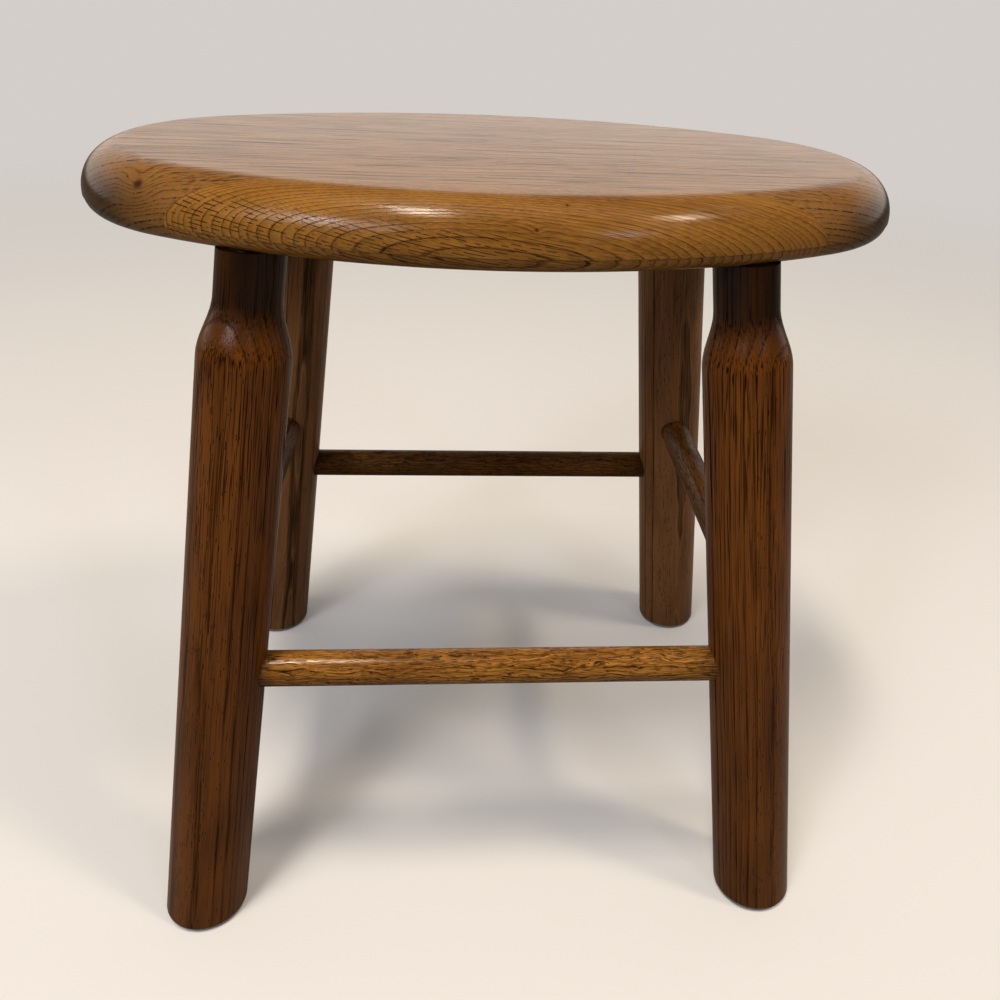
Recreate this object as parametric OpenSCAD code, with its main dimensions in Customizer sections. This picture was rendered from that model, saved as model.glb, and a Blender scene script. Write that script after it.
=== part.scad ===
/* [Seat] */
// Length of the oval seat, left to right
seat_length = 344; // [300:1:420]
// Width of the oval seat, front to back
seat_width = 200; // [188:1:250]
// Thickness of the seat boards
seat_thick = 25; // [24.5:0.5:34]
// Height of the seat's top above the floor
seat_height = 334; // [260:1:460]
// Radius of the oval's two ends
end_radius = 76; // [66:1:90]
// Radius of the large round along the top edge
top_round = 18; // [8:0.5:18]
// Radius of the small round along the bottom edge
bottom_round = 6; // [2:0.5:6]
// Step of the thin crease where the two rounds meet
crease_step = 0.4; // [0:0.1:1]
// Width of each of the three middle boards
board_width = 47.5; // [42:0.5:56]

/* [Legs] */
// Diameter of a leg below its shoulder
leg_dia = 36; // [30:0.5:42]
// Diameter of the neck under the seat
neck_dia = 26; // [22:0.5:29]
// Length of the straight neck, along the leg
neck_length = 20; // [10:1:40]
// Length of the curved shoulder below the neck
shoulder_length = 24; // [12:1:40]
// Diameter of the tenon that goes into the seat
tenon_dia = 19; // [12:0.5:21]
// Depth of the tenon in the seat
tenon_depth = 15; // [8:0.5:16]
// Distance from the seat's ends in to the leg centres, at the seat's underside
leg_inset_x = 78.5; // [72:0.5:100]
// Distance from the seat's front and rear edges in to the leg centres, at its underside
leg_inset_y = 30.5; // [28:0.5:60]
// How far each foot stands out from the top of its leg, left to right
splay_x = 39; // [10:0.5:60]
// How far each foot stands out from the top of its leg, front to back
splay_y = 38; // [10:0.5:60]

/* [Stretchers] */
// Diameter of the stretchers
stretcher_dia = 15.5; // [10:0.5:18]
// Height of the front and rear stretchers above the floor, at their centre lines
front_rail_height = 127; // [60:1:136]
// Height of the side stretchers above the floor, at their centre lines
side_rail_height = 161; // [156:1:200]
// Depth of each stretcher end in its leg
rail_depth = 13; // [8:0.5:14]

/* [Foot pads] */
// Diameter of the felt pad under each leg
pad_dia = 35; // [20:0.5:36]
// Thickness of the felt pads
pad_thick = 2.5; // [1:0.5:5]

/* [Fits] */
// Clearance all round a tenon in its hole
fit_gap = 0.1; // [0.05:0.05:0.2]
// Space left for glue at the bottom of a hole
glue_gap = 0.8; // [0.2:0.1:1.5]

/* [Hidden] */
$fn = 144;

honey_oak = [0.62, 0.40, 0.19];
brown_oak = [0.52, 0.33, 0.16];
dark_oak = [0.31, 0.17, 0.06];
rail_oak = [0.48, 0.31, 0.14];
grey_felt = [0.60, 0.60, 0.57];

underside = seat_height - seat_thick;

// The oval has four centres: two on the long axis for the ends, two on the short axis for the sides
end_centre = seat_length / 2 - end_radius;
end_reach = seat_width / 2 - end_radius;
side_centre = (end_centre * end_centre - end_reach * end_reach) / (2 * end_reach);
side_radius = seat_width / 2 + side_centre;
side_turn = atan(end_centre / side_centre);

// The three middle boards are alike, and the outer two are what the oval leaves of their neighbours
glue_line_inner = board_width / 2;
glue_line_outer = 3 * board_width / 2;
past_edge = 2 * seat_length;

// The end discs are this much larger than a true tangent arc, so that they cross the side arcs cleanly
arc_lap = 0.2;

// Each leg leans outwards from the underside of the seat to the floor
top_x = seat_length / 2 - leg_inset_x;
top_y = seat_width / 2 - leg_inset_y;
lean_angle = atan(norm([splay_x, splay_y]) / underside);
lean_heading = atan2(-splay_y, -splay_x);
leg_length = norm([splay_x, splay_y, underside]);
shoulder_top = leg_length - neck_length;
shoulder_bottom = shoulder_top - shoulder_length;
shoulder_steps = 16;
leg_overrun = leg_dia / 2;

// Distance from the middle of the stool to a leg's axis at this height above the floor
function axis_x(height) = top_x + splay_x * (1 - height / underside);
function axis_y(height) = top_y + splay_y * (1 - height / underside);
// Half the length of a stretcher that goes rail_depth into a leg whose centre is this far out
function rail_half(centre) = centre - leg_dia / 2 + rail_depth;

// A point well outside the seat, straight out from where an end arc meets a side arc
function past_joint(side_x, side_y) = [
    side_x * (end_centre + seat_length * sin(side_turn)),
    side_y * seat_length * cos(side_turn)
];

// Waste that the two rounds take off the edge of a disc of radius r
module edge_waste(r) {
    slack = 2;
    foot_of_round = r - bottom_round - crease_step;
    difference() {
        translate([r - top_round, seat_thick - top_round]) square(top_round + slack);
        translate([r - top_round, seat_thick - top_round]) circle(top_round);
    }
    difference() {
        translate([foot_of_round, -slack]) square([bottom_round + 2 * slack, bottom_round + slack]);
        translate([foot_of_round, bottom_round]) circle(bottom_round);
    }
}

// Disc as thick as the seat, with the seat's edge turned all round it
module disc(r) {
    rotate_extrude() difference() {
        square([r, seat_thick]);
        edge_waste(r);
    }
}

// The whole seat blank: the overlap of two large discs, with its two points rounded off by the end discs
module seat_blank() {
    translate([0, 0, underside]) intersection() {
        translate([0, -side_centre, 0]) disc(side_radius);
        translate([0, side_centre, 0]) disc(side_radius);
        union() {
            for (side = [-1, 1])
                translate([side * (end_centre - arc_lap), 0, 0]) disc(end_radius + arc_lap);
            translate([0, 0, -seat_thick]) linear_extrude(3 * seat_thick) polygon([
                [end_centre - arc_lap, 0], past_joint(1, 1), past_joint(-1, 1),
                [arc_lap - end_centre, 0], past_joint(-1, -1), past_joint(1, -1)
            ]);
        }
    }
}

// Puts its children on the axis of one leg, with z measured along the leg from the floor
module on_leg(side_x, side_y) {
    mirror([side_x > 0 ? 0 : 1, 0, 0]) mirror([0, side_y > 0 ? 0 : 1, 0])
        translate([axis_x(0), axis_y(0), 0])
            rotate([0, 0, lean_heading]) rotate([0, lean_angle, 0]) children();
}

// Round tenon at the top of a leg, or its mortise when grown by the clearances
module tenon(side_x, side_y, grow, deeper) {
    on_leg(side_x, side_y) translate([0, 0, shoulder_top])
        cylinder(d = tenon_dia + 2 * grow, h = neck_length + tenon_depth + deeper);
}

// One board of the seat between two glue lines, with the mortises that reach it
module seat_board(from, to) {
    difference() {
        intersection() {
            seat_blank();
            translate([-past_edge, from, 0]) cube([2 * past_edge, to - from, seat_height]);
        }
        for (side_x = [-1, 1], side_y = [-1, 1])
            if (side_y < 0 ? from < 0 : to > 0) tenon(side_x, side_y, fit_gap, glue_gap);
    }
}

// Outline of a leg from its axis: straight shank, curved shoulder, neck
module leg_profile() {
    swell = (leg_dia - neck_dia) / 2;
    polygon(concat(
        [[0, -leg_overrun], [leg_dia / 2, -leg_overrun]],
        [for (i = [0:shoulder_steps])
            let (part = i / shoulder_steps)
            [leg_dia / 2 - swell * (1 - cos(180 * part)) / 2, shoulder_bottom + shoulder_length * part]],
        [[neck_dia / 2, leg_length + leg_overrun], [0, leg_length + leg_overrun]]
    ));
}

// A stretcher, or its two sockets when grown by the clearances
module rail(along_x, side, grow, longer) {
    height = along_x ? front_rail_height : side_rail_height;
    half = rail_half(along_x ? axis_x(height) : axis_y(height)) + longer;
    translate([along_x ? 0 : side * axis_x(height), along_x ? side * axis_y(height) : 0, height])
        rotate(along_x ? [0, 90, 0] : [90, 0, 0])
            cylinder(d = stretcher_dia + 2 * grow, h = 2 * half, center = true);
}

// A leg: turned shank cut level at the pad and at the seat, tenon on top, two blind sockets
module leg(side_x, side_y) {
    difference() {
        intersection() {
            on_leg(side_x, side_y) rotate_extrude() leg_profile();
            translate([-seat_length, -seat_length, pad_thick])
                cube([2 * seat_length, 2 * seat_length, underside - pad_thick]);
        }
        rail(true, side_y, fit_gap, glue_gap);
        rail(false, side_x, fit_gap, glue_gap);
    }
    tenon(side_x, side_y, 0, 0);
}

// Felt pad, level with the floor, under the middle of a leg's foot
module foot_pad(side_x, side_y) {
    translate([side_x * axis_x(pad_thick), side_y * axis_y(pad_thick), 0])
        cylinder(d = pad_dia, h = pad_thick);
}

module seat_board_front() { color(honey_oak) seat_board(-past_edge, -glue_line_outer); }
module seat_board_mid_front() { color(brown_oak) seat_board(-glue_line_outer, -glue_line_inner); }
module seat_board_middle() { color(honey_oak) seat_board(-glue_line_inner, glue_line_inner); }
module seat_board_mid_rear() { color(brown_oak) seat_board(glue_line_inner, glue_line_outer); }
module seat_board_rear() { color(honey_oak) seat_board(glue_line_outer, past_edge); }
module leg_front_left() { color(dark_oak) leg(-1, -1); }
module leg_front_right() { color(dark_oak) leg(1, -1); }
module leg_rear_left() { color(dark_oak) leg(-1, 1); }
module leg_rear_right() { color(dark_oak) leg(1, 1); }
module stretcher_front() { color(rail_oak) rail(true, -1, 0, 0); }
module stretcher_rear() { color(rail_oak) rail(true, 1, 0, 0); }
module stretcher_left() { color(rail_oak) rail(false, -1, 0, 0); }
module stretcher_right() { color(rail_oak) rail(false, 1, 0, 0); }
module foot_pad_front_left() { color(grey_felt) foot_pad(-1, -1); }
module foot_pad_front_right() { color(grey_felt) foot_pad(1, -1); }
module foot_pad_rear_left() { color(grey_felt) foot_pad(-1, 1); }
module foot_pad_rear_right() { color(grey_felt) foot_pad(1, 1); }

seat_board_front();
seat_board_mid_front();
seat_board_middle();
seat_board_mid_rear();
seat_board_rear();
leg_front_left();
leg_front_right();
leg_rear_left();
leg_rear_right();
stretcher_front();
stretcher_rear();
stretcher_left();
stretcher_right();
foot_pad_front_left();
foot_pad_front_right();
foot_pad_rear_left();
foot_pad_rear_right();
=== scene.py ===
# %% [markdown]
# An oval oak footstool: a seat glued up from five boards, four turned legs with narrow necks,
# four dowel stretchers and a felt pad under each foot. The cells below build the visible surface of
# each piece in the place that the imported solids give, lay an oak grain on it, and set up the studio.
# All lengths are in metres, +Z is up, and the long way of the seat runs along X.

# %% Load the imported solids
import math
import bmesh
import bpy
import numpy as np
from mathutils import Matrix, Quaternion, Vector


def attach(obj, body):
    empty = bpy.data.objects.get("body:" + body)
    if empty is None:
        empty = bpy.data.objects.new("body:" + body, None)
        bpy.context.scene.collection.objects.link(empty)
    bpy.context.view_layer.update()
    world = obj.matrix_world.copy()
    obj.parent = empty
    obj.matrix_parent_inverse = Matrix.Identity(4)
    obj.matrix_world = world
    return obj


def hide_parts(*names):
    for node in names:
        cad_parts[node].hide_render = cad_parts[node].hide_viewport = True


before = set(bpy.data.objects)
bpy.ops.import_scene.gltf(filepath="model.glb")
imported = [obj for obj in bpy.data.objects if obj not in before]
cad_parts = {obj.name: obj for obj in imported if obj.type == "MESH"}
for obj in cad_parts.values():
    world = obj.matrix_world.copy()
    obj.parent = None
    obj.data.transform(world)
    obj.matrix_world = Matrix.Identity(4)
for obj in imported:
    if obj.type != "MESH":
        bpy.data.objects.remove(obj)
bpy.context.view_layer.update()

# %% [markdown]
# The sizes of the real stool, as its drawing gives them. A Geometry Nodes tree gets them as named
# inputs, so the same tree can make every piece of its kind. The four arcs of the oval meet where
# their radii line up, which fixes the centre of the long side arcs.

# %% Sizes of the stool
MM = 0.001
seat_length, seat_width, seat_thick, seat_height = 344 * MM, 200 * MM, 25 * MM, 334 * MM
end_radius, top_round, bottom_round, crease = 76 * MM, 18 * MM, 6 * MM, 0.4 * MM
board_width = 47.5 * MM
underside = seat_height - seat_thick
end_centre = seat_length / 2 - end_radius
end_reach = seat_width / 2 - end_radius
side_centre = (end_centre ** 2 - end_reach ** 2) / (2 * end_reach)
side_radius = seat_width / 2 + side_centre
glue_lines = [-3 * board_width / 2, -board_width / 2, board_width / 2, 3 * board_width / 2]

leg_radius, neck_radius, tenon_radius = 18 * MM, 13 * MM, 9.5 * MM
neck_length, shoulder_length, tenon_depth = 20 * MM, 24 * MM, 15 * MM
leg_top = Vector((seat_length / 2 - 78.5 * MM, seat_width / 2 - 30.5 * MM, underside))
leg_foot = leg_top + Vector((39 * MM, 38 * MM, -underside))
rail_radius, front_rail_height, side_rail_height, rail_depth = 7.75 * MM, 127 * MM, 161 * MM, 13 * MM
pad_radius, pad_thick = 17.5 * MM, 2.5 * MM
fit_gap, glue_gap = 0.1 * MM, 0.8 * MM
print("side arc radius:", round(side_radius, 4), "leg leans", round((leg_foot - leg_top).xy.length, 4))

# %% [markdown]
# The four legs are one leg, mirrored, so a place on one of them is known on all. The leg's centre
# line is straight: its place at any height is a mix of its two ends.

# %% Places on a leg
corners = {"front_left": (-1, -1), "front_right": (1, -1), "rear_left": (-1, 1), "rear_right": (1, 1)}


def leg_axis(height, side_x=1, side_y=1):
    """Where a leg's centre line is at this height above the floor."""
    point = leg_foot.lerp(leg_top, height / underside)
    return Vector((point.x * side_x, point.y * side_y, point.z))


print("front rail meets the leg at", [round(v, 4) for v in leg_axis(front_rail_height)])

# %% [markdown]
# A node tree, for a shape or for a material, is a list of nodes and links. One small helper adds a
# node, changes its settings, and fills or links its inputs, so that each line below reads as one
# step of the recipe. Inputs go by name, or in order where a node's order is plain: a range takes
# the value, the two numbers it comes from and the two that it goes to. A Mix node has several pairs
# of inputs, and its colours are found by number.

# %% A helper that adds a node
MATH, VECTOR, RANGE = "ShaderNodeMath", "ShaderNodeVectorMath", "ShaderNodeMapRange"
NOISE, CHANCE, MIX = "ShaderNodeTexNoise", "ShaderNodeTexWhiteNoise", "ShaderNodeMix"
ATTRIBUTE, AXES, XYZ = "ShaderNodeAttribute", "ShaderNodeSeparateXYZ", "ShaderNodeCombineXYZ"
LINE, RING = "GeometryNodeCurvePrimitiveLine", "GeometryNodeCurvePrimitiveCircle"
SWEEP, BOOLEAN = "GeometryNodeCurveToMesh", "GeometryNodeMeshBoolean"
MOVE = "GeometryNodeTransform"
SMOOTH = {"interpolation_type": "SMOOTHSTEP"}
ONE_WAY = {"noise_dimensions": "1D"}
COLOURS = {"data_type": "RGBA"}
KEEP, CUT, JOIN = [{"operation": word, "solver": "EXACT"} for word in ("INTERSECT", "DIFFERENCE", "UNION")]
UNDER, OVER, MIXED = 6, 7, 2


def add(tree, kind, settings=None, inputs=(), output=0):
    """Adds a node and gives one output, or all for None; a word as settings is its operation."""
    node = tree.nodes.new(kind)
    if isinstance(settings, str):
        settings = {"operation": settings}
    for name, value in (settings or {}).items():
        setattr(node, name, value)
    for key, value in inputs.items() if isinstance(inputs, dict) else enumerate(inputs):
        for one in value if isinstance(value, list) else [value]:
            if isinstance(one, bpy.types.NodeSocket):
                tree.links.new(one, node.inputs[key])
            else:
                node.inputs[key].default_value = one
    return node.outputs if output is None else node.outputs[output]


def new_object(name, data):
    """A new object in the scene, at the origin."""
    item = bpy.data.objects.new(name, data)
    bpy.context.scene.collection.objects.link(item)
    return item

# %% [markdown]
# A Geometry Nodes tree is a recipe for a shape, with the sizes as named inputs. It could stay on its
# object as a live modifier. Here its result is taken as a plain mesh, because the stool is exported
# and every piece has to bring its own real faces. Each tree ends the same way, and so do its runs.

# %% Helpers for shape trees
def shape_tree(name, sizes):
    """A Geometry Nodes group with one named input for each size, and a material."""
    tree = bpy.data.node_groups.new(name, "GeometryNodeTree")
    tree.interface.new_socket("Geometry", in_out="OUTPUT", socket_type="NodeSocketGeometry")
    for label, value in sizes.items():
        kind = "NodeSocketVector" if isinstance(value, Vector) else "NodeSocketFloat"
        socket = tree.interface.new_socket(label, in_out="INPUT", socket_type=kind)
        socket.default_value = value
    tree.interface.new_socket("Material", in_out="INPUT", socket_type="NodeSocketMaterial")
    given = add(tree, "NodeGroupInput", output=None)
    return tree, {socket.name: socket for socket in given if socket.name}


def end_tree(tree, geometry, material):
    """Ends a tree in real, material-bearing geometry."""
    real = add(tree, "GeometryNodeRealizeInstances", None, {"Geometry": geometry})
    dressed = add(tree, "GeometryNodeSetMaterial", None, {"Geometry": real, "Material": material})
    add(tree, "NodeGroupOutput", None, {"Geometry": dressed}, None)
    print(tree.name, "tree:", len(tree.nodes), "nodes")


def made_by(tree, name, material, sizes):
    """Runs a tree with some inputs changed, and keeps the result as a plain mesh object."""
    holder = new_object("holder", bpy.data.meshes.new("holder"))
    modifier = holder.modifiers.new(tree.name, "NODES")
    modifier.node_group = tree
    sockets = {item.name: item.identifier for item in tree.interface.items_tree if item.in_out == "INPUT"}
    for label, value in {**sizes, "Material": material}.items():
        modifier[sockets[label]] = value
    bpy.context.view_layer.update()
    evaluated = holder.evaluated_get(bpy.context.evaluated_depsgraph_get())
    mesh = bpy.data.meshes.new_from_object(evaluated)
    bpy.data.objects.remove(holder)
    mesh.name = name
    return new_object(name, mesh)


def rod(tree, start, end, radius, segments=64):
    """Adds a closed round bar between two points to a shape tree."""
    line = add(tree, LINE, None, [start, end])
    ring = add(tree, RING, None, {"Resolution": segments, "Radius": radius})
    return add(tree, SWEEP, None, {"Curve": line, "Profile Curve": ring, "Fill Caps": True})


def swept(tree, line, radius, segments):
    """Adds a closed round form along a line; its radius may change from point to point."""
    ring = add(tree, RING, None, {"Resolution": segments, "Radius": 1.0})
    return add(tree, SWEEP, None,
               {"Curve": line, "Profile Curve": ring, "Scale": radius, "Fill Caps": True})


def worn_ends(tree, radius, wear):
    """A radius that falls by the wear over the last stretch, as long as the wear, at both ends."""
    gone = add(tree, "GeometryNodeSplineParameter", output="Length")
    left = add(tree, MATH, "SUBTRACT", [add(tree, "GeometryNodeSplineLength"), gone])
    nearest = add(tree, MATH, "MINIMUM", [gone, left])
    worn = add(tree, MATH, "SUBTRACT", [wear, nearest])
    worn = add(tree, MATH, "MAXIMUM", [worn, 0.0])
    return add(tree, MATH, "SUBTRACT", [radius, worn])

# %% [markdown]
# The grain attribute is the wood's own ruler: for every vertex, how many millimetres along the log
# it lies, and how far across the log from the pith. A board, a leg and a dowel can then share one
# oak, each cut from its own place in its own log. The rays attribute is 1 where the surface cuts
# straight through the log's rays, and 0 where it runs along them. The flank attribute is 1 where
# the surface runs along the log, and 0 where it cuts across it.

# %% A ruler for the wood
def fade(value, low, high):
    """0 below the low value, 1 above the high one, and a soft step between; takes arrays."""
    part = np.clip((value - low) / (high - low), 0.0, 1.0)
    return part * part * (3.0 - 2.0 * part)


def read_vertices(piece, what):
    """The place ("co") or the direction ("normal") of every vertex, one to a row."""
    numbers = np.empty(len(piece.data.vertices) * 3, np.float32)
    piece.data.vertices.foreach_get(what, numbers)
    return numbers.reshape(-1, 3)


def write_vertices(piece, name, values, kind="FLOAT", field="value"):
    """Keeps a number or a vector for every vertex, which a material can read by its name."""
    kept = piece.data.attributes.new(name, kind, "POINT")
    kept.data.foreach_set(field, values.astype(np.float32).ravel())


def log_frame(along, up=(0, 0, 1)):
    """The log's own three directions, one to a row: along it, and two across it."""
    along = Vector(along).normalized()
    across = Vector(up).cross(along).normalized()
    return np.array([along, across, along.cross(across)])


def place_in_log(points, pith, along, up=(0, 0, 1)):
    """Turns points in metres into places in a log, in millimetres from a point of its pith."""
    return (np.array(points) - np.array(pith)) @ log_frame(along, up).T / MM


def lay_grain(piece, pith, along, up=(0, 0, 1), few_rays=None):
    """Writes each vertex's place in its log; few_rays gives two places along it where rays fade out."""
    rays_cut_fully, rays_hidden, along_grain, across_grain = 0.45, 0.85, 0.15, 0.40
    place = place_in_log(read_vertices(piece, "co"), pith, along, up)
    facing = read_vertices(piece, "normal") @ log_frame(along, up).T
    from_pith = np.hypot(place[:, 1], place[:, 2]) + 1e-6
    level = np.abs(facing[:, 2] * place[:, 1] - facing[:, 1] * place[:, 2]) / from_pith
    share = 1.0 - fade(level, rays_cut_fully, rays_hidden)
    if few_rays:
        share *= 1.0 - fade(place[:, 0], *few_rays)
    write_vertices(piece, "grain", place, "FLOAT_VECTOR", "vector")
    write_vertices(piece, "rays", share)
    write_vertices(piece, "flank", 1.0 - fade(np.abs(facing[:, 0]), along_grain, across_grain))

# %% [markdown]
# A finished piece is welded and its faces are turned outwards. It gets smooth shading that still
# breaks at real corners, rides on the stool's one body and stands for its solid. The line that is
# printed shows whether it is closed, which a printed or exported part has to be.

# %% Finish a piece
def finish_piece(piece, node, corner=28):
    """Shades the piece, prints if it is closed, and puts it in its solid's place."""
    mesh = piece.data
    edit = bmesh.new()
    edit.from_mesh(mesh)
    bmesh.ops.remove_doubles(edit, verts=edit.verts, dist=0.002 * MM)
    bmesh.ops.recalc_face_normals(edit, faces=edit.faces)
    open_edges = sum(not edge.is_manifold for edge in edit.edges)
    volume = edit.calc_volume()
    edit.to_mesh(mesh)
    edit.free()
    mesh.polygons.foreach_set("use_smooth", [True] * len(mesh.polygons))
    mesh.set_sharp_from_angle(angle=math.radians(corner))
    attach(piece, "root")
    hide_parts(node)
    print(f"{piece.name}: {len(mesh.polygons)} faces, {open_edges} open edges, {volume / MM ** 3:.0f} mm3")

# %% [markdown]
# Shade is painted into the wood. The seat's shadow is painted dark into each leg's neck, and painted
# shade darkens both ends of the seat, the bottom of its edge and the undersides of the stretchers.
# The stretchers are also darker round their sockets, and the legs a little darker towards the feet.
# An attribute says how much of that darkening lies on each vertex, from 0 for bare varnish to 1. A
# rule gives it from the vertex's place on the stool.

# %% Painted shade and darkening
def lay_darkening(piece, rule):
    """Writes the rule's amount of darkening, mostly painted shade, on each vertex."""
    write_vertices(piece, "patina", rule(*read_vertices(piece, "co").T))


def shade_on_seat(x, y, z):
    """Painted shade at both ends and, a little, along the bottom of the edge all round; none on top."""
    starts, full = seat_height - 0.5 * MM, underside + 13 * MM
    bottom = 0.25 * fade(-z, -(underside + 9 * MM), -underside)
    ends = 0.90 * fade(np.abs(x), 118 * MM, 155 * MM)
    return fade(-z, -starts, -full) * (bottom + ends)


def darkening_on_leg(x, y, z):
    """The seat's shadow painted dark in the neck, clear on the shoulder, and a little darker towards the
    foot.
    """
    neck = fade(z, underside - neck_length - 0.8 * shoulder_length, underside - 0.8 * neck_length)
    foot = 0.25 * fade(-z, -220 * MM, -20 * MM)
    return np.maximum(neck, foot)


def darkening_on_rail(x, y, z):
    """Darker round both sockets, and painted shade along the underside."""
    run = np.abs(x if np.ptp(x) > np.ptp(y) else y)
    sockets = 0.7 * fade(run / run.max(), 0.80, 0.92)
    below_middle = (z.max() + z.min()) / 2 - z
    return np.maximum(sockets, 0.3 * fade(below_middle, -0.1 * rail_radius, rail_radius))

# %% [markdown]
# Colours are written as they look on a screen, and one function turns them into the linear numbers
# that the shaders use. Every material starts from an empty tree.

# %% Colours and an empty material
def colour(hex_code):
    """An sRGB hex colour as the linear numbers that Blender's sockets take."""
    parts = [int(hex_code[i:i + 2], 16) / 255 for i in (1, 3, 5)]
    return (*(c / 12.92 if c <= 0.04045 else ((c + 0.055) / 1.055) ** 2.4 for c in parts), 1.0)


def empty_tree(owner):
    """The node tree of a material or a world, with nothing in it."""
    owner.use_nodes = True
    owner.node_tree.nodes.clear()
    return owner.node_tree


print("amber in linear numbers:", [round(c, 3) for c in colour("#b8782e")])

# %% [markdown]
# Oak, first part: the rings. The texture is solid, as the wood is, so a rounded edge gets its
# curved lines by itself. A log is never quite straight, so the rings wander by a few millimetres,
# and some years grew wider than others. A knot pushes the rings round itself and has a dark core.
# The year's growth runs from 0 at its start to 1 at its end.

# %% Rings and knots
def log_rings(tree, ring, wave, sway, knots):
    """Gives the bent place in the log, the distance from the pith, the growth, the year, the cores."""
    spells, most_years_off, push_reach, core_edges, core_dark = 0.09, 3.0, 5.0, (0.2, 1.3), 0.85
    place = add(tree, ATTRIBUTE, {"attribute_name": "grain"}, output="Vector")
    slow = add(tree, VECTOR, "MULTIPLY", [place, (1 / wave, 3 / wave, 3 / wave)])
    wander = add(tree, NOISE, None, {"Vector": slow, "Scale": 1.0, "Detail": 3.0}, "Color")
    centred = add(tree, VECTOR, "SUBTRACT", [wander, (0.5, 0.5, 0.5)])
    shift = add(tree, VECTOR, "MULTIPLY", [centred, (0.0, sway, sway)])
    bent = add(tree, VECTOR, "ADD", [place, shift])
    flat = add(tree, VECTOR, "MULTIPLY", [bent, (0.0, 1.0, 1.0)])
    from_pith = add(tree, VECTOR, "LENGTH", [flat], "Value")
    years = add(tree, MATH, "DIVIDE", [from_pith, ring])
    uneven = add(tree, NOISE, ONE_WAY, {"W": from_pith, "Scale": spells, "Detail": 1.0})
    late = add(tree, MATH, "MULTIPLY_ADD", [uneven, most_years_off, years])
    cores = 0.0
    for centre, size in knots:
        gap = add(tree, VECTOR, "DISTANCE", [place, centre], "Value")
        push = add(tree, RANGE, SMOOTH, [gap, 0.0, push_reach * size, size, 0.0])
        late = add(tree, MATH, "ADD", [late, push])
        core = add(tree, RANGE, SMOOTH, [gap, *(edge * size for edge in core_edges), core_dark, 0.0])
        cores = add(tree, MATH, "MAXIMUM", [core, cores])
    growth = add(tree, MATH, "FRACT", [late])
    year = add(tree, MATH, "FLOOR", [late])
    return place, bent, from_pith, growth, year, cores

# %% [markdown]
# Second part: the pores. Each year starts with a row of wide open vessels. Where the rings reach the
# surface the row shows as a dark line, dotted when the cut goes across the vessels and streaky when
# it follows them. Real vessels are 0.3 mm wide. They are drawn 0.4 mm wide so that they show, and
# 0.55 to 0.8 mm wide where the surface is farther off or seen at a flat angle. No two years are
# alike, so each row has its own darkness. Between the rows a few smaller pores are scattered, which
# show only where the surface runs along the log.

# %% Pores
def pore_rows(tree, bent, growth, year, line, vessel_length, vessel_width, solid, scattered):
    """How dark the open pores make each place; line is the row's share of a year."""
    palest_row, row_pore, small_pore = 0.65, (0.44, 0.56), (0.54, 0.63)
    chance = add(tree, CHANCE, ONE_WAY, {"W": year}, "Value")
    strong = add(tree, RANGE, None, {"Value": chance, "To Min": palest_row, "To Max": 1.0})
    early = add(tree, RANGE, SMOOTH, [growth, line * 0.5, line * 1.2, 1.0, 0.0])
    rise = add(tree, RANGE, SMOOTH, [growth, 0.0, line * 0.2, 0.0, 1.0])
    row = add(tree, MATH, "MULTIPLY", [early, rise])
    row = add(tree, MATH, "MULTIPLY", [row, strong])
    cells = add(tree, VECTOR, "DIVIDE", [bent, (vessel_length, vessel_width, vessel_width)])
    vessel = add(tree, NOISE, None, {"Vector": cells, "Scale": 1.0, "Detail": 1.0})
    open_pore = add(tree, RANGE, SMOOTH, [vessel, *row_pore, 0.0, 1.0])
    filled = add(tree, MATH, "MULTIPLY_ADD", [open_pore, 1 - solid, solid])
    row = add(tree, MATH, "MULTIPLY", [row, filled])
    small = add(tree, RANGE, SMOOTH, [vessel, *small_pore, 0.0, scattered])
    flank = add(tree, ATTRIBUTE, {"attribute_name": "flank"}, output="Fac")
    small = add(tree, MATH, "MULTIPLY", [small, flank])
    return add(tree, MATH, "MAXIMUM", [row, small])

# %% [markdown]
# Third part: the rays. Thin sheets of another tissue run out from the pith. Where the surface cuts
# them they show as short dark dashes along the grain, and with the ring lines they make the
# brick-like pattern on the seat's edge. The angle round the pith is divided into even steps, with
# one sheet in each. Noise, moved along by chance from sheet to sheet, breaks the sheets into dashes
# about 5 mm long. A sheet is drawn a quarter of a step thick. That is 0.3 mm on the front board, as
# in real oak, and less on the legs and dowels, which lie close to their piths. On the top of the
# seat it is 0.4 to 0.7 mm, coarser than real, so that the dashes show there too.

# %% Rays
def ray_dashes(tree, bent, from_pith, many):
    """How dark the rays make each place; many is the noise level above which one starts."""
    sheets_per_radian, furthest_move, dash_size, dash_edge = 50.0, 300.0, 5.0, 0.04
    sheet_side, sheet_middle = 0.34, 0.42
    parts = add(tree, AXES, None, [bent], None)
    angle = add(tree, MATH, "ARCTAN2", [parts["Z"], parts["Y"]])
    steps = add(tree, MATH, "MULTIPLY", [angle, sheets_per_radian])
    sheet = add(tree, MATH, "FLOOR", [steps])
    chance = add(tree, CHANCE, ONE_WAY, {"W": sheet}, "Value")
    moved = add(tree, MATH, "MULTIPLY_ADD", [chance, furthest_move, parts["X"]])
    spoke = add(tree, XYZ, None, [moved, from_pith, 0.0])
    rays = add(tree, NOISE, None, {"Vector": spoke, "Scale": 1 / dash_size, "Detail": 1.0})
    dash = add(tree, RANGE, SMOOTH, [rays, many, many + dash_edge, 0.0, 1.0])
    beside = add(tree, MATH, "PINGPONG", [steps, 0.5])
    thin = add(tree, RANGE, SMOOTH, [beside, sheet_side, sheet_middle, 0.0, 1.0])
    share = add(tree, ATTRIBUTE, {"attribute_name": "rays"}, output="Fac")
    dash = add(tree, MATH, "MULTIPLY", [dash, thin])
    return add(tree, MATH, "MULTIPLY", [dash, share])

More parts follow.
